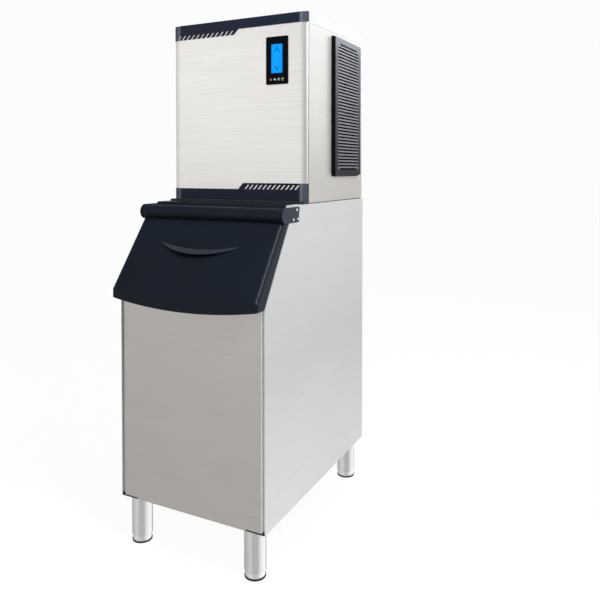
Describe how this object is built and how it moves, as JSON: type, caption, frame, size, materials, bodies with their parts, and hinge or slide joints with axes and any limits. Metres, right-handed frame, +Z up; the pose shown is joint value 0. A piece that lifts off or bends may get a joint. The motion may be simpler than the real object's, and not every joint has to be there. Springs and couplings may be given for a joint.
{
  "type": "ice machine",
  "caption": "Free-standing cube ice machine: a modular ice-making head on an insulated storage bin with a sloping flap door and levelling legs.",
  "frame": {"origin": "centre of the footprint at floor level", "axes": "+Z up, the bin door and control panel face -Y, +X is the user's right"},
  "size_m": [0.59, 0.8888, 1.811],
  "materials": {
    "front_stainless": "satin",
    "side_stainless": "satin",
    "foot_stainless": "satin",
    "back_steel": "satin",
    "screw_steel": "polished",
    "navy_plastic": "satin",
    "black_plastic": "satin",
    "display": "gloss",
    "key_red": "gloss",
    "key_white": "gloss",
    "key_cyan": "gloss",
    "key_green": "gloss",
    "liner_white": "gloss",
    "clear_plastic": "gloss",
    "foam": "matte",
    "rubber_black": "matte",
    "plated_copper": "satin",
    "copper": "satin",
    "brass": "satin",
    "motor_black": "satin",
    "fins": "satin",
    "pump_plastic": "satin"
  },
  "bodies": {
    "cabinet": {"bin_front_panel": "front_stainless", "head_front_panel": "front_stainless", "bin_side_right": "side_stainless", "bin_side_left": "side_stainless", "head_side_right": "side_stainless", "head_side_left": "side_stainless", "head_lid": "side_stainless", "bin_deck": "side_stainless", "leg_tubes": "side_stainless", "bin_rear_panel": "back_steel", "bin_bottom_pan": "back_steel", "head_rear_panel": "back_steel", "head_base_pan": "back_steel", "partition_wall": "back_steel", "electrical_box": "back_steel", "tie_plates": "back_steel", "plate_screws": "screw_steel", "hinge_plate_right": "navy_plastic", "hinge_plate_left": "navy_plastic", "front_trim_top": "navy_plastic", "front_trim_bottom": "navy_plastic", "vent_grille_right": "black_plastic", "vent_grille_left": "black_plastic", "control_bezel": "black_plastic", "fan_shroud": "black_plastic", "cord_gland": "black_plastic", "display_module": "display", "bin_liner": "liner_white", "water_trough": "liner_white", "water_distributor": "liner_white", "evaporator_frame": "liner_white", "float_valve": "clear_plastic", "bin_insulation": "foam", "deck_gasket": "rubber_black", "compressor_grommets": "rubber_black", "evaporator_plate": "plated_copper", "refrigerant_tubing": "copper", "filter_drier": "copper", "hot_gas_valve": "brass", "water_inlet": "brass", "compressor": "motor_black", "pump_motor": "motor_black", "fan_motor": "motor_black", "condenser": "fins", "drain_fitting": "pump_plastic"},
    "bin_door": {"door_shell": "navy_plastic", "door_liner": "liner_white", "door_gasket": "rubber_black"},
    "left_front_foot": {"foot_front_left": "foot_stainless"},
    "left_rear_foot": {"foot_rear_left": "foot_stainless"},
    "right_front_foot": {"foot_front_right": "foot_stainless"},
    "right_rear_foot": {"foot_rear_right": "foot_stainless"},
    "power_button": {"power_key": "key_red"},
    "wash_button": {"wash_key": "key_white"},
    "timer_button": {"timer_key": "key_cyan"},
    "lamp_button": {"lamp_key": "key_green"},
    "condenser_fan": {"fan_blades": "fins"},
    "pump_rotor": {"pump_impeller": "pump_plastic"},
    "curtain": {"water_curtain": "clear_plastic"},
    "float": {"float_arm": "clear_plastic"}
  },
  "joints": [
    {"name": "door_hinge", "type": "hinge", "parent": "cabinet", "child": "bin_door", "pos_m": [0, -0.26212, 1.1229], "axis": [-1, 0, 0], "range_deg": [0, 155]},
    {"name": "left_front_foot_slide", "type": "slide", "parent": "cabinet", "child": "left_front_foot", "axis": [0, 0, -1], "range_m": [0, 0.02]},
    {"name": "left_rear_foot_slide", "type": "slide", "parent": "cabinet", "child": "left_rear_foot", "axis": [0, 0, -1], "range_m": [0, 0.02]},
    {"name": "right_front_foot_slide", "type": "slide", "parent": "cabinet", "child": "right_front_foot", "axis": [0, 0, -1], "range_m": [0, 0.02]},
    {"name": "right_rear_foot_slide", "type": "slide", "parent": "cabinet", "child": "right_rear_foot", "axis": [0, 0, -1], "range_m": [0, 0.02]},
    {"name": "power_button_press", "type": "slide", "parent": "cabinet", "child": "power_button", "axis": [0, 1, 0], "range_m": [0, 0.001], "stiffness_N_per_m": 400, "springref_m": -0.001},
    {"name": "wash_button_press", "type": "slide", "parent": "cabinet", "child": "wash_button", "axis": [0, 1, 0], "range_m": [0, 0.001], "stiffness_N_per_m": 400, "springref_m": -0.001},
    {"name": "timer_button_press", "type": "slide", "parent": "cabinet", "child": "timer_button", "axis": [0, 1, 0], "range_m": [0, 0.001], "stiffness_N_per_m": 400, "springref_m": -0.001},
    {"name": "lamp_button_press", "type": "slide", "parent": "cabinet", "child": "lamp_button", "axis": [0, 1, 0], "range_m": [0, 0.001], "stiffness_N_per_m": 400, "springref_m": -0.001},
    {"name": "fan_spin", "type": "hinge", "parent": "cabinet", "child": "condenser_fan", "pos_m": [0.2, 0.2464, 1.481], "axis": [1, 0, 0], "continuous": true},
    {"name": "pump_spin", "type": "hinge", "parent": "cabinet", "child": "pump_rotor", "pos_m": [0.165, 0.0694, 1.25], "axis": [0, 0, 1], "continuous": true},
    {"name": "curtain_swing", "type": "hinge", "parent": "cabinet", "child": "curtain", "pos_m": [0, 0.0354, 1.737], "axis": [-1, 0, 0], "range_deg": [0, 15]},
    {"name": "float_swing", "type": "hinge", "parent": "cabinet", "child": "float", "pos_m": [-0.15, 0.0694, 1.332], "axis": [0, -1, 0], "range_deg": [0, 15]}
  ]
}
